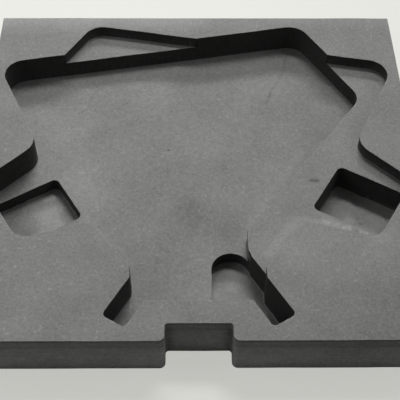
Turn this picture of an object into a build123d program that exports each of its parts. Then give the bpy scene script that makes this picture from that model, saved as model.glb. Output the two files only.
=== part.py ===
from build123d import *
import os

# Foam insert: one block of dense closed-cell foam, cut from above for two flat tools of one shape.
# The tools lie mirrored about the middle of the block and cross each other, so the lower tool has a
# deep level and the upper tool a shallow one. Each tool has a wide body that narrows to a nose, a tail
# on its other side with a square socket in it, and a slot for its grip near the front of the block.
# Plan places are measured from the middle of the block's front edge, and depths from its top face.

# Block
block_width = 350
block_length = 334
block_height = 40

# Depths below the top face
upper_tool_depth = 10
lower_tool_depth = 25
upper_slot_depth = 25
lower_slot_depth = 37
upper_socket_depth = 34
lower_socket_depth = 37
thumb_depth = 37

# A tool lies turned by this angle, and its own sizes run along it and across it
tool_angle = 31
nose_along = 246
nose_far_across = 229.7
nose_near_across = 135.4
shoulder_along = -6.8
shoulder_far_across = 324.6
neck_along = -16.8
neck_far_across = 222.6
neck_near_across = 131.4
tail_along = -71.5
tail_far_across = 209.7
tail_near_across = 144
outline_radius = 17
near_radius = 13
nose_near_radius = 16

# The front of a tool's shape stands square to the block, as a stem between the two slots
stem_half_width = 50
stem_front = 33
heel_front = 61.3
stem_wall = 38
stem_wall_back = 101.5
throat_back = 80.7

# Slot for the grip, along the tool's own directions
slot_width = 19.4
slot_along = 60
slot_end_across = -17.2
slot_length = 57.2
slot_radius = 3.5

# Square sockets in the tails
socket_length = 58
socket_far_across = 201
lower_socket_width = 45.7
upper_socket_width = 49.3
socket_radius = 4.5

# Thumb pocket beside the lower tool's slot
thumb_width = 30
thumb_length = 59
thumb_side = 25.2
thumb_front = 31.2

# Finger notch through the front edge
notch_width = 48
notch_length = 14
notch_inner_radius = 2.5
notch_outer_radius = 3


def plan(along, across):
    # A place in the plan from a place on the tool
    return Vector(along, across).rotate(Axis.Z, tool_angle)


# Outline of a tool, from its nose round the shoulder and the tail to the stem
corners = [
    (plan(nose_along, nose_far_across), outline_radius),
    (plan(shoulder_along, shoulder_far_across), outline_radius),
    (plan(neck_along, neck_far_across), outline_radius),
    (plan(tail_along, tail_far_across), outline_radius),
    (plan(tail_along, tail_near_across), near_radius),
    (plan(neck_along, neck_near_across), near_radius),
    (Vector(-stem_half_width, heel_front), 0),
    (Vector(-stem_half_width, stem_front), 0),
    (Vector(stem_wall, stem_front), 0),
    (Vector(stem_wall, stem_wall_back), 0),
    (plan(nose_along, nose_near_across), nose_near_radius),
]
with BuildSketch() as tool:
    with BuildLine():
        points = [point for point, radius in corners]
        radii = [radius for point, radius in corners]
        FilletPolyline(points, radius=radii, close=True)
    make_face()

with BuildSketch() as slot:
    with Locations(plan(slot_along, slot_end_across + slot_length / 2)):
        Rectangle(slot_width, slot_length, rotation=tool_angle)
    fillet(slot.vertices().sort_by(Axis.Y)[:2], slot_radius)

# The lower tool's slot opens into the stem through a throat, and the thumb pocket joins it there
with BuildSketch() as lower_slot:
    add(slot.sketch)
    with BuildLine():
        Polyline(
            (thumb_side, throat_back),
            (stem_wall, throat_back),
            (stem_half_width, heel_front),
            (stem_half_width, stem_front),
            (thumb_side, stem_front),
            close=True,
        )
    make_face()

with BuildSketch() as thumb_pocket:
    with Locations((thumb_side, thumb_front + thumb_length / 2)):
        SlotOverall(thumb_length, thumb_width, rotation=90)

with BuildSketch() as lower_socket:
    with Locations(plan(tail_along + socket_length / 2, socket_far_across - lower_socket_width / 2)):
        RectangleRounded(socket_length, lower_socket_width, socket_radius, rotation=tool_angle)

with BuildSketch() as upper_socket:
    with Locations(plan(tail_along + socket_length / 2, socket_far_across - upper_socket_width / 2)):
        RectangleRounded(socket_length, upper_socket_width, socket_radius, rotation=tool_angle)

top = Plane((0, -block_length / 2, block_height))

with BuildPart() as foam_insert:
    with BuildSketch(top) as block:
        Rectangle(block_width, block_length, align=(Align.CENTER, Align.MIN))
        Rectangle(notch_width, notch_length, align=(Align.CENTER, Align.MIN), mode=Mode.SUBTRACT)
        notch_mouth = block.vertices().group_by(Axis.Y)[0].sort_by(Axis.X)[1:3]
        notch_end = block.vertices().group_by(Axis.Y)[1]
        fillet(notch_mouth, notch_outer_radius)
        fillet(notch_end, notch_inner_radius)
    extrude(amount=-block_height)

    # Upper tool, its mirrored shape, then its slot and socket
    with BuildSketch(top):
        mirror(tool.sketch, about=Plane.YZ)
    extrude(amount=-upper_tool_depth, mode=Mode.SUBTRACT)
    with BuildSketch(top):
        mirror(slot.sketch, about=Plane.YZ)
    extrude(amount=-upper_slot_depth, mode=Mode.SUBTRACT)
    with BuildSketch(top):
        mirror(upper_socket.sketch, about=Plane.YZ)
    extrude(amount=-upper_socket_depth, mode=Mode.SUBTRACT)

    # Lower tool, its slot, socket and thumb pocket
    with BuildSketch(top):
        add(tool.sketch)
    extrude(amount=-lower_tool_depth, mode=Mode.SUBTRACT)
    with BuildSketch(top):
        add(lower_slot.sketch)
    extrude(amount=-lower_slot_depth, mode=Mode.SUBTRACT)
    with BuildSketch(top):
        add(lower_socket.sketch)
    extrude(amount=-lower_socket_depth, mode=Mode.SUBTRACT)
    with BuildSketch(top):
        add(thumb_pocket.sketch)
    extrude(amount=-thumb_depth, mode=Mode.SUBTRACT)

foam_insert.part.label = "foam_insert"
os.makedirs("parts", exist_ok=True)
export_step(foam_insert.part, "parts/foam_insert.step")
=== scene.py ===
import math

import bpy
import numpy as np
from mathutils import Matrix, Vector, geometry


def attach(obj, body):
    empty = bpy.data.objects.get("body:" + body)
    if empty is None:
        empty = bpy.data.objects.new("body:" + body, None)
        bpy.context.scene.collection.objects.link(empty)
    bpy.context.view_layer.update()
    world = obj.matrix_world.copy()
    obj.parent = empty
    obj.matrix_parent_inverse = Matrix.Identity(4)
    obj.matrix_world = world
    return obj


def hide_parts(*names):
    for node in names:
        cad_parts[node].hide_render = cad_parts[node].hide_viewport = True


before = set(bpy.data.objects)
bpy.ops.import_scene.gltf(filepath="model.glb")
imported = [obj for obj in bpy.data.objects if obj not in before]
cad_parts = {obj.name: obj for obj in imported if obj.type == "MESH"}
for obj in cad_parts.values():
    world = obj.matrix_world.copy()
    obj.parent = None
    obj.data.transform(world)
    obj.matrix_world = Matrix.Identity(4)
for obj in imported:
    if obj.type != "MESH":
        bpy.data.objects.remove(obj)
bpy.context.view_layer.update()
print("frame loaded")


# Camera: a 36 mm sensor, turned to look down at the block over its front edge

view = {
    "place": (-0.007309, -0.480307, 0.596413),
    "lookDown": 0.905654,     # radians below level
    "turn": -0.020579,        # radians about the upright, to the left when positive
    "tilt": 0.014533,         # radians about the line of sight
    "lens": 82.62,
    "sensor": 36,
}


def makeCamera():
    # The camera first looks straight down, then is tilted, lifted to its angle below level and turned
    data = bpy.data.cameras.new("camera")
    data.lens = view["lens"]
    data.sensor_width = view["sensor"]
    camera = bpy.data.objects.new("camera", data)
    lifted = Matrix.Rotation(math.pi / 2 - view["lookDown"], 4, "X")
    aim = Matrix.Rotation(view["turn"], 4, "Z") @ lifted @ Matrix.Rotation(view["tilt"], 4, "Z")
    camera.matrix_world = Matrix.Translation(view["place"]) @ aim
    bpy.context.collection.objects.link(camera)
    bpy.context.scene.camera = camera


makeCamera()
print("camera set")


# Foam block: worked out again from the CAD block, with points all over its faces, then its cut edges rounded

foam = {
    "node": "foam_insert",
    "levelFrom": 0.9,         # upward part that the normal of a level CAD face has at least
    "wallUpTo": 0.1,          # and that of a wall has at most
    "gridStep": 0.004,        # spacing of points over the faces
    "outlineStep": 0.002,     # longest stretch of an outline between two points
    "rimBand": 0.0012,        # width of the band along a cut edge that catches the light
    "bandClear": 0.98,        # share of the band's width that stays free of other outlines
    "gridClear": 0.7,         # share of the grid step that stays free of outlines
    "rimRound": 0.0003,       # rounding of the cut edges
    "rimSegments": 3,
    "roundFrom": 40,          # degrees between two faces, above which the edge between them is rounded
    "dip": 0.0003,            # how far the flat faces dip at most
    "dipLength": 0.09,        # rough length of the waves
    "dipFrom": 0.003,         # the dips fade out below this height
    "waver": 0.00015,         # how far a cut wall strays from its line
    "waverLength": 0.05,
    "tornFloor": 0.007,       # floors lower than this are torn, not cut
    "tornDepth": 0.0005,
    "tornLength": 0.012,
    "notchHalf": 0.024,       # the finger notch in the front edge
    "notchDeep": 0.014,
    "notchMouth": 0.0045,     # rounding of its two outer corners in the plan
    "notchEnd": 0.0025,       # rounding of its two inner corners
    "notchPoints": 9,         # points along each of these roundings
    "notchSpare": 0.001,      # outlines this far behind the notch are still taken as its own
    "seed": 7,
}


def readTriangles(node):
    # Points of a CAD node, merged, and its triangles as rows of three point numbers
    mesh = node.data
    mesh.calc_loop_triangles()
    points = np.empty(len(mesh.vertices) * 3)
    mesh.vertices.foreach_get("co", points)
    corners = np.empty(len(mesh.loop_triangles) * 3, dtype=np.int64)
    mesh.loop_triangles.foreach_get("vertices", corners)
    points, merged = np.unique(points.reshape(-1, 3).round(6), axis=0, return_inverse=True)
    return points, merged.reshape(-1)[corners].reshape(-1, 3)


def sidesOf(rows):
    # The three sides of each triangle, all first sides before all second ones
    return np.concatenate([rows[:, [0, 1]], rows[:, [1, 2]], rows[:, [2, 0]]])


def pairKeys(pairs, count):
    # One number for each pair of point numbers, whichever way round the pair is
    pairs = np.sort(pairs, axis=1)
    return pairs[:, 0] * count + pairs[:, 1]


def cutEdges(points, triangles):
    # Plan segments of the walls: borders of the level faces that have a wall going down from them
    a, b, c = (points[triangles[:, k]] for k in range(3))
    normals = np.cross(b - a, c - a)
    upward = normals[:, 2] / np.linalg.norm(normals, axis=1)
    level = triangles[upward > foam["levelFrom"]]
    wall = triangles[np.abs(upward) < foam["wallUpTo"]]
    sides, wallSides = sidesOf(level), sidesOf(wall)
    keys, first, uses = np.unique(pairKeys(sides, len(points)), return_index=True, return_counts=True)
    border = sides[first[uses == 1]]
    wallKeys = pairKeys(wallSides, len(points))
    wallMiddle = np.tile(points[wall][:, :, 2].mean(axis=1), 3)
    order = np.argsort(wallKeys)
    found = order[np.searchsorted(wallKeys[order], pairKeys(border, len(points)))]
    falling = wallMiddle[found] < points[border[:, 0], 2]
    return points[border[falling]][:, :, :2], points[level]


def roundNotch(segments, front):
    # The notch's outline is drawn again with rounder corners, each a quarter circle, and the front edge is
    # trimmed to meet it
    half, end = foam["notchHalf"], front + foam["notchDeep"]
    mouth, inner = foam["notchMouth"], foam["notchEnd"]
    near = (np.abs(segments[:, :, 0]) < half + mouth) & (segments[:, :, 1] < end + foam["notchSpare"])
    x, y = np.where(near)
    kept = segments.copy()
    kept[x, y] = np.column_stack([np.sign(segments[x, y, 0]) * (half + mouth), np.full(len(x), front)])
    turn = np.linspace(0, math.pi / 2, foam["notchPoints"])
    outerX, outerY = half + mouth - mouth * np.sin(turn), front + mouth - mouth * np.cos(turn)
    innerX, innerY = half - inner + inner * np.cos(turn), end - inner + inner * np.sin(turn)
    right = np.column_stack([np.append(outerX, innerX), np.append(outerY, innerY)])
    line = np.concatenate([right, right[::-1] * (-1, 1)])
    return np.concatenate([kept[~near.all(axis=1)], np.stack([line[:-1], line[1:]], axis=1)])


def inNotch(places, front):
    # True for places in the notch's opening, inside its rounded corners
    half, end = foam["notchHalf"], front + foam["notchDeep"]
    mouth, inner = foam["notchMouth"], foam["notchEnd"]
    x, y = np.abs(places[:, 0]), places[:, 1]
    fromInner = np.hypot(x - (half - inner), y - (end - inner))
    fromMouth = np.hypot(x - (half + mouth), y - (front + mouth))
    filled = (x > half - inner) & (y > end - inner) & (fromInner > inner)
    opened = (x < half + mouth) & (y < front + mouth) & (fromMouth > mouth)
    return (x < half) & (y < end) & ~filled | opened


def splitSegments(segments, step):
    # Each segment is cut into equal stretches no longer than step
    lengths = np.linalg.norm(segments[:, 1] - segments[:, 0], axis=1)
    counts = np.ceil(lengths / step - 1e-6).astype(int)
    which = np.repeat(np.arange(len(segments)), counts)
    place = np.arange(counts.sum()) - np.repeat(np.cumsum(counts) - counts, counts)
    start, run = segments[which, 0], segments[which, 1] - segments[which, 0]
    share = np.stack([place, place + 1], axis=1) / counts[which, None]
    return start[:, None] + run[:, None] * share[:, :, None]


def distanceTo(places, segments):
    # Distance from each place to the nearest segment, worked out in parts to save memory
    start, run = segments[:, 0], segments[:, 1] - segments[:, 0]
    nearest, parts = np.empty(len(places)), 40
    for part in np.array_split(np.arange(len(places)), parts):
        offset = places[part, None] - start[None]
        along = np.clip((offset * run).sum(axis=2) / (run * run).sum(axis=1), 0, 1)
        nearest[part] = np.linalg.norm(offset - along[:, :, None] * run, axis=2).min(axis=1)
    return nearest


def planMesh(outlines, low, high):
    # Triangles over the plan: outline points, a row of points beside each outline, and an even grid between
    band, grid = foam["rimBand"], foam["gridStep"]
    run = outlines[:, 1] - outlines[:, 0]
    across = np.stack([-run[:, 1], run[:, 0]], axis=1) / np.linalg.norm(run, axis=1)[:, None] * band
    beside = np.concatenate([outlines + across[:, None], outlines - across[:, None]])
    clear = (distanceTo(beside.reshape(-1, 2), outlines) > band * foam["bandClear"]).reshape(-1, 2)
    beside = beside[clear.all(axis=1)]
    columns, rows = np.ceil((high - low) / grid).astype(int) + 1
    rowStep = 0.866
    x, y = np.meshgrid(np.arange(columns), np.arange(int(rows / rowStep) + 1))
    lattice = np.stack([x + 0.5 * (y % 2), y * rowStep], axis=2).reshape(-1, 2) * grid + low
    lattice = lattice[distanceTo(lattice, outlines) > grid * foam["gridClear"]]
    joined = np.concatenate([outlines, beside])
    places, numbers = np.unique(joined.reshape(-1, 2).round(6), axis=0, return_inverse=True)
    edges = np.unique(np.sort(numbers.reshape(-1, 2), axis=1), axis=0)
    edges = edges[edges[:, 0] != edges[:, 1]]
    places = np.concatenate([places, lattice])
    plan = geometry.delaunay_2d_cdt(places.tolist(), edges.tolist(), [], 0, 1e-7, False)
    return np.array([tuple(p) for p in plan[0]]), np.array(plan[2])


def levelOf(middles, levelFaces):
    # Height of the level CAD face over each place, or -1 outside the block
    height, slack = np.full(len(middles), -1.0), -1e-12
    for a, b, c in levelFaces:
        side = lambda p, q: (q[0] - p[0]) * (middles[:, 1] - p[1]) - (q[1] - p[1]) * (middles[:, 0] - p[0])
        inside = (side(a, b) >= slack) & (side(b, c) >= slack) & (side(c, a) >= slack)
        height[inside] = a[2]
    return height


def ripple(points, length, seed):
    # Sum of twelve sine waves in random directions, of about the given length, from -1 to 1
    random = np.random.default_rng(seed)
    count, highest = 12, 5
    directions = random.normal(size=(count, points.shape[1]))
    directions /= np.linalg.norm(directions, axis=1)[:, None]
    waves = directions * (2 * math.pi / length * random.uniform(0.6, 1.6, count))[:, None]
    total = np.sin(points @ waves.T + random.uniform(0, 2 * math.pi, count)).sum(axis=1)
    return np.clip(total / highest, -1, 1)


def foamBlock():
    # The plan's triangles, each at the level of the CAD face there, with an underside and walls between them
    points, triangles = readTriangles(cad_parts[foam["node"]])
    low, high = points.min(axis=0), points.max(axis=0)
    segments, levelFaces = cutEdges(points, triangles)
    segments = roundNotch(segments, low[1])
    plan, cells = planMesh(splitSegments(segments, foam["outlineStep"]), low[:2], high[:2])
    middles = plan[cells].mean(axis=1)
    height = levelOf(middles, levelFaces)
    besideNotch = (np.abs(middles[:, 0]) < foam["notchHalf"] + foam["notchMouth"]) & (height < 0)
    height[besideNotch & (middles[:, 1] < low[1] + foam["notchDeep"])] = high[2]
    height[inNotch(middles, low[1])] = -1
    cells, height = cells[height >= 0], height[height >= 0]

    # Every wall is cut at every level, so that walls of different heights share their points
    tops = np.unique(height)
    levels = np.unique(np.concatenate([[low[2]], tops, tops - foam["rimBand"]]).round(6))
    number = lambda place, level: place * len(levels) + level
    cellLevel = np.searchsorted(levels, height - 1e-7)
    faces = np.concatenate([number(cells, cellLevel[:, None]), number(cells[:, ::-1], 0)])
    sides = sidesOf(cells)
    keys = pairKeys(sides, len(plan))
    order = np.argsort(keys, kind="stable")
    twin = np.full(len(sides), -1)
    same = keys[order[:-1]] == keys[order[1:]]
    twin[order[:-1][same]], twin[order[1:][same]] = order[1:][same], order[:-1][same]
    sideLevel = np.tile(cellLevel, 3)
    other = np.where(twin < 0, 0, sideLevel[twin])
    quads = []
    for k in range(len(levels) - 1):
        i, j = sides[(sideLevel > k) & (other <= k)].T
        quads.append(np.stack([number(i, k), number(j, k), number(j, k + 1), number(i, k + 1)], axis=1))
    quads = np.concatenate(quads)
    used, numbers = np.unique(np.concatenate([faces.ravel(), quads.ravel()]), return_inverse=True)
    numbers = numbers.reshape(-1)
    faceRows, quadRows = numbers[:faces.size].reshape(-1, 3), numbers[faces.size:].reshape(-1, 4)
    shape = np.column_stack([plan[used // len(levels)], levels[used % len(levels)]])
    rim = np.zeros(len(shape))
    rimSides = sides[sideLevel > other]
    rimLevels = sideLevel[sideLevel > other]
    rim[np.searchsorted(used, number(rimSides, rimLevels[:, None])).ravel()] = 1
    outer = np.zeros(len(plan))
    outer[sides[twin < 0]] = 1
    pocket = 1 - outer[used // len(levels)]
    print("foam: points", len(shape), "faces", len(faceRows) + len(quadRows))

    # A point strays sideways by waver times a ripple. It falls by dip times a ripple from 0 to 1, fading out
    # at the foot, and on a torn floor also by tornDepth times a finer ripple
    seed = foam["seed"]
    step = np.column_stack([ripple(shape, foam["waverLength"], seed + k) for k in range(2)]) * foam["waver"]
    share = np.clip(shape[:, 2] / foam["dipFrom"], 0, 1)
    drop = (0.5 + 0.5 * ripple(shape[:, :2], foam["dipLength"], seed + 2)) * foam["dip"] * share
    torn = (shape[:, 2] < foam["tornFloor"]) & (shape[:, 2] > 0) & (rim == 0)
    drop += torn * ripple(shape[:, :2], foam["tornLength"], seed + 3) * foam["tornDepth"]
    shape[:, :2] += step
    shape[:, 2] -= drop
    shape = np.clip(shape, low, high)

    mesh = bpy.data.meshes.new("foam_block")
    mesh.from_pydata(shape.tolist(), [], faceRows.tolist() + quadRows.tolist())
    mesh.attributes.new("rim", "FLOAT", "POINT").data.foreach_set("value", rim)
    mesh.attributes.new("pocket", "FLOAT", "POINT").data.foreach_set("value", pocket)
    roundCutEdges(mesh)
    block = bpy.data.objects.new("foam_block", mesh)
    bpy.context.collection.objects.link(block)
    bevel = block.modifiers.new("rounded edges", "BEVEL")
    bevel.limit_method = "WEIGHT"
    bevel.width = foam["rimRound"]
    bevel.segments = foam["rimSegments"]
    bevel.use_clamp_overlap = False
    normals = block.modifiers.new("even shading", "WEIGHTED_NORMAL")
    normals.weight = 90
    mesh.shade_smooth()
    return block


def roundCutEdges(mesh):
    # Bevel weight 1 on each edge where two faces turn away from each other by more than the given angle
    count = len(mesh.polygons)
    normals, centres = np.empty(count * 3), np.empty(count * 3)
    mesh.polygons.foreach_get("normal", normals)
    mesh.polygons.foreach_get("center", centres)
    totals = np.empty(count, dtype=np.int32)
    mesh.polygons.foreach_get("loop_total", totals)
    edges = np.empty(len(mesh.loops), dtype=np.int32)
    mesh.loops.foreach_get("edge_index", edges)
    normals, centres = normals.reshape(-1, 3), centres.reshape(-1, 3)
    owners = np.repeat(np.arange(count), totals)[np.argsort(edges, kind="stable")].reshape(-1, 2)
    first, second = owners.T
    turn = (normals[first] * normals[second]).sum(axis=1)
    outward = ((centres[second] - centres[first]) * normals[first]).sum(axis=1) < 0
    weights = ((turn < math.cos(math.radians(foam["roundFrom"]))) & outward).astype(float)
    mesh.attributes.new("bevel_weight_edge", "FLOAT", "EDGE").data.foreach_set("value", weights)


class Wire:
    # One output socket in a shader. Sums, products and the like of wires and numbers add Math nodes
    def __init__(self, tree, socket=None):
        self.tree = tree
        self.socket = socket

    def node(self, kind, settings, inputs, output=0):
        # Any node, from its type, its settings, and the values or wires of its sockets
        made = self.tree.nodes.new("ShaderNode" + kind)
        for name, value in settings.items():
            setattr(made, name, value)
        for name, value in inputs.items():
            if isinstance(value, Wire):
                self.tree.links.new(value.socket, made.inputs[name])
            else:
                made.inputs[name].default_value = value
        return Wire(self.tree, made.outputs[output])

    def math(self, operation, first, second):
        return self.node("Math", {"operation": operation}, {0: first, 1: second})

    def __add__(self, other):
        return self.math("ADD", self, other)

    def __radd__(self, other):
        return self.math("ADD", other, self)

    def __sub__(self, other):
        return self.math("SUBTRACT", self, other)

    def __rsub__(self, other):
        return self.math("SUBTRACT", other, self)

    def __mul__(self, other):
        return self.math("MULTIPLY", self, other)

    def __rmul__(self, other):
        return self.math("MULTIPLY", other, self)

    def __truediv__(self, other):
        return self.math("DIVIDE", self, other)

    def __rtruediv__(self, other):
        return self.math("DIVIDE", other, self)

    def smooth(self, low, high):
        # 0 below low, 1 above high, and an even curve between
        settings = {"interpolation_type": "SMOOTHSTEP"}
        return self.node("MapRange", settings, {"Value": self, "From Min": low, "From Max": high})

    def noise(self, place, size, detail=2.0, rough=0.5):
        # Noise from 0 to 1 whose features are about as large as size, in metres
        inputs = {"Vector": place, "Scale": 1 / size, "Detail": detail, "Roughness": rough}
        return self.node("TexNoise", {}, inputs)

    def stroke(self, place, start, end, width):
        # 1 on the line from start to end, fading to 0 at width from it
        run = [q - p for p, q in zip(start, end)]
        offset = self.node("VectorMath", {"operation": "SUBTRACT"}, {0: place, 1: start})
        along = self.node("VectorMath", {"operation": "DOT_PRODUCT"}, {0: offset, 1: run}, "Value")
        share = self.node("Clamp", {}, {"Value": along / sum(c * c for c in run)})
        nearest = self.node("VectorMath", {"operation": "SCALE"}, {0: run, "Scale": share})
        gap = self.node("VectorMath", {"operation": "DISTANCE"}, {0: offset, 1: nearest}, "Value")
        return 1 - gap.smooth(0, width)

    def blend(self, factor, first, second):
        # Mix of two colours
        return self.node("Mix", {"data_type": "RGBA"}, {0: factor, 6: first, 7: second}, 2)


# Sizes and heights are in metres. A step is the pair of values between which something fades in. Each
# strength is the share of the grey that it adds, or takes away if it is a shade
foamFinish = {
    "grey": (0.19, 0.19, 0.187),
    "cloudSize": 0.035, "cloud": 0.42,               # broad unevenness of the skin
    "blotchSize": 0.005, "blotch": 0.3,
    "grainSize": 0.002, "grain": 0.9,                # cells of the foam
    "dustSize": 0.003, "dust": 0.2,
    "dustStep": (0.7, 0.8),                          # dust lies where its noise is above this
    "speckleStep": (0.45, 0.65),                     # and speckled marks show where theirs is above this
    "streakSize": 0.0014, "streak": 0.4,             # knife lines along the outer faces
    "streakStretch": (0.02, 0.02, 1),
    "levelStep": (0, 0.35),                          # level faces have more than this of an upward normal
    "frontStep": (-0.7, -0.3),                       # and front faces less than this of one along Y
    "rimShine": 0.03, "rimShade": 0.85,              # cut edges are lighter on top, darker on the wall below
    # painted shade: the walls of the pockets are darker
    "pocketWallPaintedShade": 0.82,                               # the walls of the pockets are darker
    # painted light: the outer faces are lighter towards their foot, as if lit from the floor
    "footStep": (0, 0.03), "footPaintedLight": 0.65,         # the outer faces are lighter below this height
    "bandStep": (0.028, 0.031), "bandShade": 0.25,   # the front faces are darker above this height
    "edgeStep": (0.037, 0.0385), "edgeShade": 0.25,  # and still darker along their top edge
    "tornStep": (0.0065, 0.0075), "torn": 0.28,      # torn floors lie below this height, and are lighter
    "roughness": 0.85,
    "shine": 0.15,
    "bump": 0.35,
    "bumpHeight": 0.0004,
}


# Marks: each runs from one place to another and fades out at its width. Speckled ones are broken up. Most are
# marks of use; the ones noted as painted light, painted sheen or painted shade stand in for light and shade.
# Marks on the walls are strong, because the walls are dark. socketShade runs below its floor, so that it
# hardly reaches the floor above
foamMarks = {
    # Deep floor
    "middleSpeck": {
        "run": ((-0.0243, 0.0291, 0.015), (-0.0236, 0.0291, 0.015)), "width": 0.0016, "lighter": -0.6,
    },
    "middleFleck": {
        "run": ((-0.0285, 0.0269, 0.015), (-0.0218, 0.0247, 0.015)), "width": 0.0016, "lighter": 0.16,
    },
    "leftSpeck": {
        "run": ((-0.0609, 0.0839, 0.015), (-0.0604, 0.0839, 0.015)), "width": 0.0014, "lighter": -0.35,
    },
    "leftDot": {
        "run": ((-0.0808, 0.0624, 0.015), (-0.0803, 0.0624, 0.015)), "width": 0.0014, "lighter": -0.3,
    },
    "leftSmudge": {
        "run": ((-0.0795, 0.0706, 0.015), (-0.0724, 0.0671, 0.015)), "width": 0.006, "lighter": -0.06,
    },
    "scratchBack": {
        "run": ((0.0826, 0.1423, 0.015), (0.0774, 0.1188, 0.015)), "width": 0.0015, "lighter": -0.16,
    },
    "scratchMiddle": {
        "run": ((0.0774, 0.1188, 0.015), (0.0653, 0.0961, 0.015)), "width": 0.0015, "lighter": -0.14,
    },
    "scratchFront": {
        "run": ((0.0653, 0.0961, 0.015), (0.061, 0.0826, 0.015)), "width": 0.0018, "lighter": -0.2,
    },
    "smear": {
        "run": ((-0.0044, -0.0243, 0.015), (-0.0037, -0.0591, 0.015)), "width": 0.006, "lighter": -0.05,
    },
    # Painted light: a pale strip of deep floor at the foot of a hidden step wall on the right
    "paintedLightEdgeRight": {
        "run": ((0.0874, 0.0267, 0.015), (0.0353, -0.0602, 0.015)), "width": 0.008, "lighter": 0.12,
    },
    # Painted light: a pale strip of deep floor at the foot of a hidden step wall on the left
    "paintedLightEdgeLeft": {
        "run": ((-0.0891, -0.0433, 0.015), (-0.0519, -0.0844, 0.015)), "width": 0.007, "lighter": 0.12,
    },
    # Painted light: a broad pool of light on the left of the deep floor
    "paintedLightLeft": {
        "run": ((-0.1306, 0.0612, 0.015), (-0.0947, -0.019, 0.015)), "width": 0.04, "lighter": 0.16,
    },
    "dimMiddle": {
        "run": ((-0.0044, -0.0365, 0.015), (0.0192, -0.0504, 0.015)), "width": 0.03, "lighter": -0.15,
    },
    # Upper floor
    "rightSpeck": {
        "run": ((0.0915, -0.016, 0.03), (0.0955, -0.0165, 0.03)), "width": 0.0034, "lighter": -0.42,
    },
    # Painted light: a pale band of upper floor at the foot of a hidden wall on the right
    "paintedLightBand": {
        "run": ((0.0755, -0.0578, 0.03), (0.0545, -0.0875, 0.03)), "width": 0.009, "lighter": 0.22,
    },
    "lipBandStart": {
        "run": ((0.0825, -0.0554, 0.03), (0.0996, -0.0579, 0.03)), "width": 0.004, "lighter": 0.2,
    },
    "lipBandEnd": {
        "run": ((0.0996, -0.0579, 0.03), (0.1156, -0.0643, 0.03)),
        "width": 0.004, "lighter": 0.22, "speckled": 0.35,
    },
    "lipShade": {
        "run": ((0.1, -0.0625, 0.03), (0.113, -0.068, 0.03)), "width": 0.003, "lighter": -0.12,
    },
    "scuffLip": {
        "run": ((0.1125, -0.0636, 0.03), (0.1166, -0.0626, 0.03)),
        "width": 0.0025, "lighter": 0.15, "speckled": 0.35,
    },
    "scuffEnd": {
        "run": ((0.1246, -0.067, 0.03), (0.129, -0.0685, 0.03)),
        "width": 0.0026, "lighter": 0.35, "speckled": 0.4,
    },
    # Sockets
    "scuffFloor": {
        "run": ((0.12, -0.0372, 0.006), (0.1245, -0.0385, 0.006)), "width": 0.0045, "lighter": 0.45,
    },
    "socketPale": {
        "run": ((0.105, -0.033, 0.003), (0.14, -0.05, 0.003)), "width": 0.022, "lighter": 0.25,
    },
    "darkFloorDot": {
        "run": ((0.1289, -0.0362, 0.006), (0.1293, -0.0362, 0.006)), "width": 0.0022, "lighter": -0.35,
    },
    "darkFloorNick": {
        "run": ((0.13, -0.0419, 0.006), (0.132, -0.0423, 0.006)), "width": 0.0018, "lighter": -0.45,
    },
    "socketBloom": {
        "run": ((-0.1207, -0.0147, 0.0033), (-0.108, -0.0219, 0.0033)),
        "width": 0.012, "lighter": 0.1, "speckled": 0.3,
    },
    # Painted shadow: the left socket's floor is darker towards its left wall
    "socketShade": {
        "run": ((-0.158, -0.022, -0.004), (-0.14, -0.05, -0.004)), "width": 0.026, "lighter": -0.5,
    },
    # Walls
    # Painted light: two strips of pocket wall by the right slot are made pale, as if lit
    "paintedLightWall": {
        "run": ((0.038, -0.066, 0.0225), (0.038, -0.082, 0.0225)), "width": 0.0075, "lighter": 8,
    },
    "paintedLightNick": {
        "run": ((0.05, -0.0985, 0.0355), (0.05, -0.107, 0.0355)), "width": 0.005, "lighter": 3,
    },
    # Painted shade: the notch's two inner corners are darker
    "notchPaintedShadeLeft": {
        "run": ((-0.0245, -0.1535, 0), (-0.0245, -0.1535, 0.029)), "width": 0.01, "lighter": -0.45,
    },
    "notchPaintedShadeRight": {
        "run": ((0.0245, -0.1535, 0), (0.0245, -0.1535, 0.029)), "width": 0.01, "lighter": -0.45,
    },
    # Land
    "cornerNick": {
        "run": ((-0.0499, -0.1058, 0.04), (-0.0497, -0.1093, 0.04)), "width": 0.0014, "lighter": -0.7,
    },
    "rubbedLand": {
        "run": ((0.066, -0.085, 0.04), (0.13, -0.085, 0.04)), "width": 0.045, "lighter": 0.16,
    },
    # Painted sheen: the land is lighter towards its back edge, more on the left
    "paintedSheenBackLeft": {
        "run": ((-0.18, 0.172, 0.04), (-0.01, 0.172, 0.04)), "width": 0.031, "lighter": 0.5,
    },
    "paintedSheenBackRight": {
        "run": ((0.02, 0.172, 0.04), (0.18, 0.172, 0.04)), "width": 0.028, "lighter": 0.2,
    },
    # Painted shade: the front right corner of the land is darker, where the light falls off
    "paintedShadeCorner": {
        "run": ((0.12, -0.17, 0.04), (0.18, -0.12, 0.04)), "width": 0.06, "lighter": -0.15,
    },
    "landFleckLeft": {
        "run": ((-0.1304, -0.0796, 0.04), (-0.1298, -0.0796, 0.04)), "width": 0.0016, "lighter": 0.25,
    },
    "landFleckMiddle": {
        "run": ((-0.1177, -0.0806, 0.04), (-0.1171, -0.0806, 0.04)), "width": 0.0014, "lighter": 0.2,
    },
    "landFleckRight": {
        "run": ((-0.0913, -0.0658, 0.04), (-0.0907, -0.0658, 0.04)), "width": 0.0016, "lighter": 0.2,
    },
}


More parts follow.
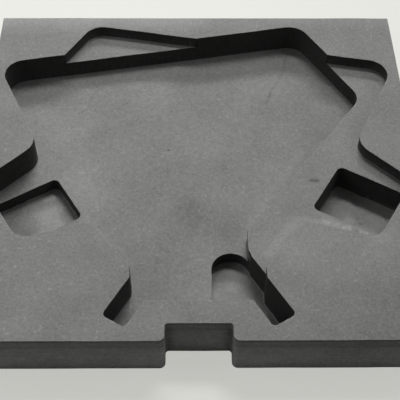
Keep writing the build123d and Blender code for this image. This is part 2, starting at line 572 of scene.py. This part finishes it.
def makeFoamFinish():
    # The grey times one shade: noises and marks added up, then factors for walls (painted shade), feet
    # (painted light), bands and rims
    material = bpy.data.materials.new("foam")
    material.use_nodes = True
    tree = material.node_tree
    shader = tree.nodes["Principled BSDF"]
    start = Wire(tree)
    place = start.node("TexCoord", {}, {}, "Object")
    facing = start.node("NewGeometry", {}, {}, "Normal")
    up = start.node("SeparateXYZ", {}, {"Vector": facing}, "Z")
    rim = start.node("Attribute", {"attribute_name": "rim"}, {}, "Fac")
    pocket = start.node("Attribute", {"attribute_name": "pocket"}, {}, "Fac")
    steep = 1 - up.smooth(*foamFinish["levelStep"])
    outer = steep * (1 - pocket)
    height = start.node("SeparateXYZ", {}, {"Vector": place}, "Z")

    # Skin, dust, torn floors and knife lines
    grain = start.noise(place, foamFinish["grainSize"], 3, 0.7) - 0.5
    blotch = start.noise(place, foamFinish["blotchSize"], 2, 0.6) - 0.5
    cloud = start.noise(place, foamFinish["cloudSize"], 2, 0.5) - 0.5
    dust = start.noise(place, foamFinish["dustSize"], 0).smooth(*foamFinish["dustStep"])
    torn = (1 - height.smooth(*foamFinish["tornStep"])) * (1 - steep) * pocket
    stretch = {0: place, 1: foamFinish["streakStretch"]}
    stretched = start.node("VectorMath", {"operation": "MULTIPLY"}, stretch)
    streak = (start.noise(stretched, foamFinish["streakSize"], 3, 0.6) - 0.5) * outer
    shade = 1 + cloud * foamFinish["cloud"] + blotch * foamFinish["blotch"] + grain * foamFinish["grain"]
    shade = shade + dust * foamFinish["dust"] + streak * foamFinish["streak"] + torn * foamFinish["torn"]

    # Marks of use, and marks of painted light and shade
    speckle = start.noise(place, foamFinish["dustSize"], 3, 0.7).smooth(*foamFinish["speckleStep"])
    for mark in foamMarks.values():
        touch = start.stroke(place, *mark["run"], mark["width"])
        shade = shade + touch * mark.get("lighter", 0) + touch * speckle * mark.get("speckled", 0)

    # Painted shade on the pocket walls, painted light at the foot of the outer faces, the upper part of the
    # front faces, and the cut edges
    foot = 1 - height.smooth(*foamFinish["footStep"])
    band = height.smooth(*foamFinish["bandStep"])
    edge = height.smooth(*foamFinish["edgeStep"])
    along = start.node("SeparateXYZ", {}, {"Vector": facing}, "Y")
    front = outer * (1 - along.smooth(*foamFinish["frontStep"]))
    shade = shade * (1 - steep * pocket * foamFinish["pocketWallPaintedShade"])
    shade = shade * (1 + outer * foot * foamFinish["footPaintedLight"])
    shade = shade * (1 - front * band * foamFinish["bandShade"] - front * edge * foamFinish["edgeShade"])
    shade = shade * (1 + rim * foamFinish["rimShine"] - rim * steep * foamFinish["rimShade"])
    grey = start.node("CombineXYZ", {}, {0: shade, 1: shade, 2: shade})
    colour = start.node("VectorMath", {"operation": "MULTIPLY"}, {0: grey, 1: foamFinish["grey"]})
    bumpInputs = {"Height": grain, "Strength": foamFinish["bump"], "Distance": foamFinish["bumpHeight"]}
    bump = start.node("Bump", {}, bumpInputs)
    tree.links.new(colour.socket, shader.inputs["Base Color"])
    tree.links.new(bump.socket, shader.inputs["Normal"])
    shader.inputs["Roughness"].default_value = foamFinish["roughness"]
    shader.inputs["Specular IOR Level"].default_value = foamFinish["shine"]
    return material


block = foamBlock()
block.data.materials.append(makeFoamFinish())
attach(block, "root")
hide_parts(foam["node"])
print("foam block made")


# Floor and light: a pale floor, two rows of tubes behind the block, a soft ceiling and a window at each side

stage = {
    "floorSide": 6.0,
    "floorSeen": (0.62, 0.62, 0.59, 1),      # colour that the camera sees
    "floorBounce": (0.85, 0.85, 0.82, 1),    # colour that lights the block from below
    "floorLight": (0.95, 0.95, 0.9, 1),      # colour of the part that no shadow takes away
    "floorGlow": 0.52,                       # share of that part
    "backdrop": (0.78, 0.78, 0.74, 1),
    "fill": 0.012,                           # share of the backdrop that lights the block
}

# Each lamp points at its aim and gives less light the further a place is from that line, within its spread
lamps = {
    "nearTubes": {
        "place": (0.06, 0.65, 1.15), "aim": (-0.27, -0.14, 0),
        "size": (0.8, 0.16), "power": 2.85, "spread": 90,
    },
    "farTubes": {
        "place": (0.1, 1.6, 1.1), "aim": (-0.24, -0.14, 0),
        "size": (1, 0.25), "power": 6.6, "spread": 90,
    },
    "ceiling": {
        "place": (0, -0.5, 1.8), "aim": (0, 0, 0),
        "size": (2, 1.6), "power": 1.2, "spread": 180,
    },
    "leftWindow": {
        "place": (-1.3, 0, 1), "aim": (0, 0, 0),
        "size": (1, 0.8), "power": 4.5, "spread": 180,
    },
    "rightWindow": {
        "place": (1.3, 0, 1), "aim": (0, 0, 0),
        "size": (1, 0.8), "power": 3.5, "spread": 180,
    },
}


def seenStraight(start):
    # 1 for rays that come from the camera, straight or by way of a mirror or glass, and 0 for the others
    names = ("Is Camera Ray", "Is Glossy Ray", "Is Transmission Ray")
    seen, glossy, passing = (start.node("LightPath", {}, {}, name) for name in names)
    return start.math("MAXIMUM", start.math("MAXIMUM", seen, glossy), passing)


def makeFloor():
    # A flat square, partly glowing to the camera, so that the block's shadow on it stays soft and pale
    mesh = bpy.data.meshes.new("floor")
    half = stage["floorSide"] / 2
    corners = [(-half, -half, 0), (half, -half, 0), (half, half, 0), (-half, half, 0)]
    mesh.from_pydata(corners, [], [(0, 1, 2, 3)])
    floor = bpy.data.objects.new("floor", mesh)
    bpy.context.collection.objects.link(floor)
    material = bpy.data.materials.new("floor")
    material.use_nodes = True
    tree = material.node_tree
    start = Wire(tree)
    straight = seenStraight(start)
    colour = start.blend(straight, stage["floorBounce"], stage["floorSeen"])
    shader = tree.nodes["Principled BSDF"]
    tree.links.new(colour.socket, shader.inputs["Base Color"])
    shader.inputs["Roughness"].default_value = 1
    shader.inputs["Specular IOR Level"].default_value = 0
    glow = start.node("Emission", {}, {"Color": stage["floorLight"]})
    share = straight * stage["floorGlow"]
    mixed = start.node("MixShader", {}, {0: share, 1: Wire(tree, shader.outputs[0]), 2: glow})
    tree.links.new(mixed.socket, tree.nodes["Material Output"].inputs["Surface"])
    mesh.materials.append(material)
    return floor


def makeLamp(name, lamp):
    # A rectangle of light whose back is turned away from its aim
    data = bpy.data.lights.new(name, "AREA")
    data.shape = "RECTANGLE"
    data.size, data.size_y = lamp["size"]
    data.energy = lamp["power"]
    data.spread = math.radians(lamp["spread"])
    made = bpy.data.objects.new(name, data)
    made.location = lamp["place"]
    made.rotation_euler = (Vector(lamp["place"]) - Vector(lamp["aim"])).to_track_quat("Z", "Y").to_euler()
    bpy.context.collection.objects.link(made)


def makeWorld():
    # The camera sees the backdrop, and the block is lit by only a share of it
    world = bpy.data.worlds.new("world")
    bpy.context.scene.world = world
    world.use_nodes = True
    tree = world.node_tree
    start = Wire(tree)
    dim = [c * stage["fill"] for c in stage["backdrop"][:3]] + [1]
    colour = start.blend(seenStraight(start), dim, stage["backdrop"])
    tree.links.new(colour.socket, tree.nodes["Background"].inputs["Color"])


makeFloor()
for name, lamp in lamps.items():
    makeLamp(name, lamp)
makeWorld()
bpy.context.scene.view_settings.view_transform = "Standard"
print("floor and light made")
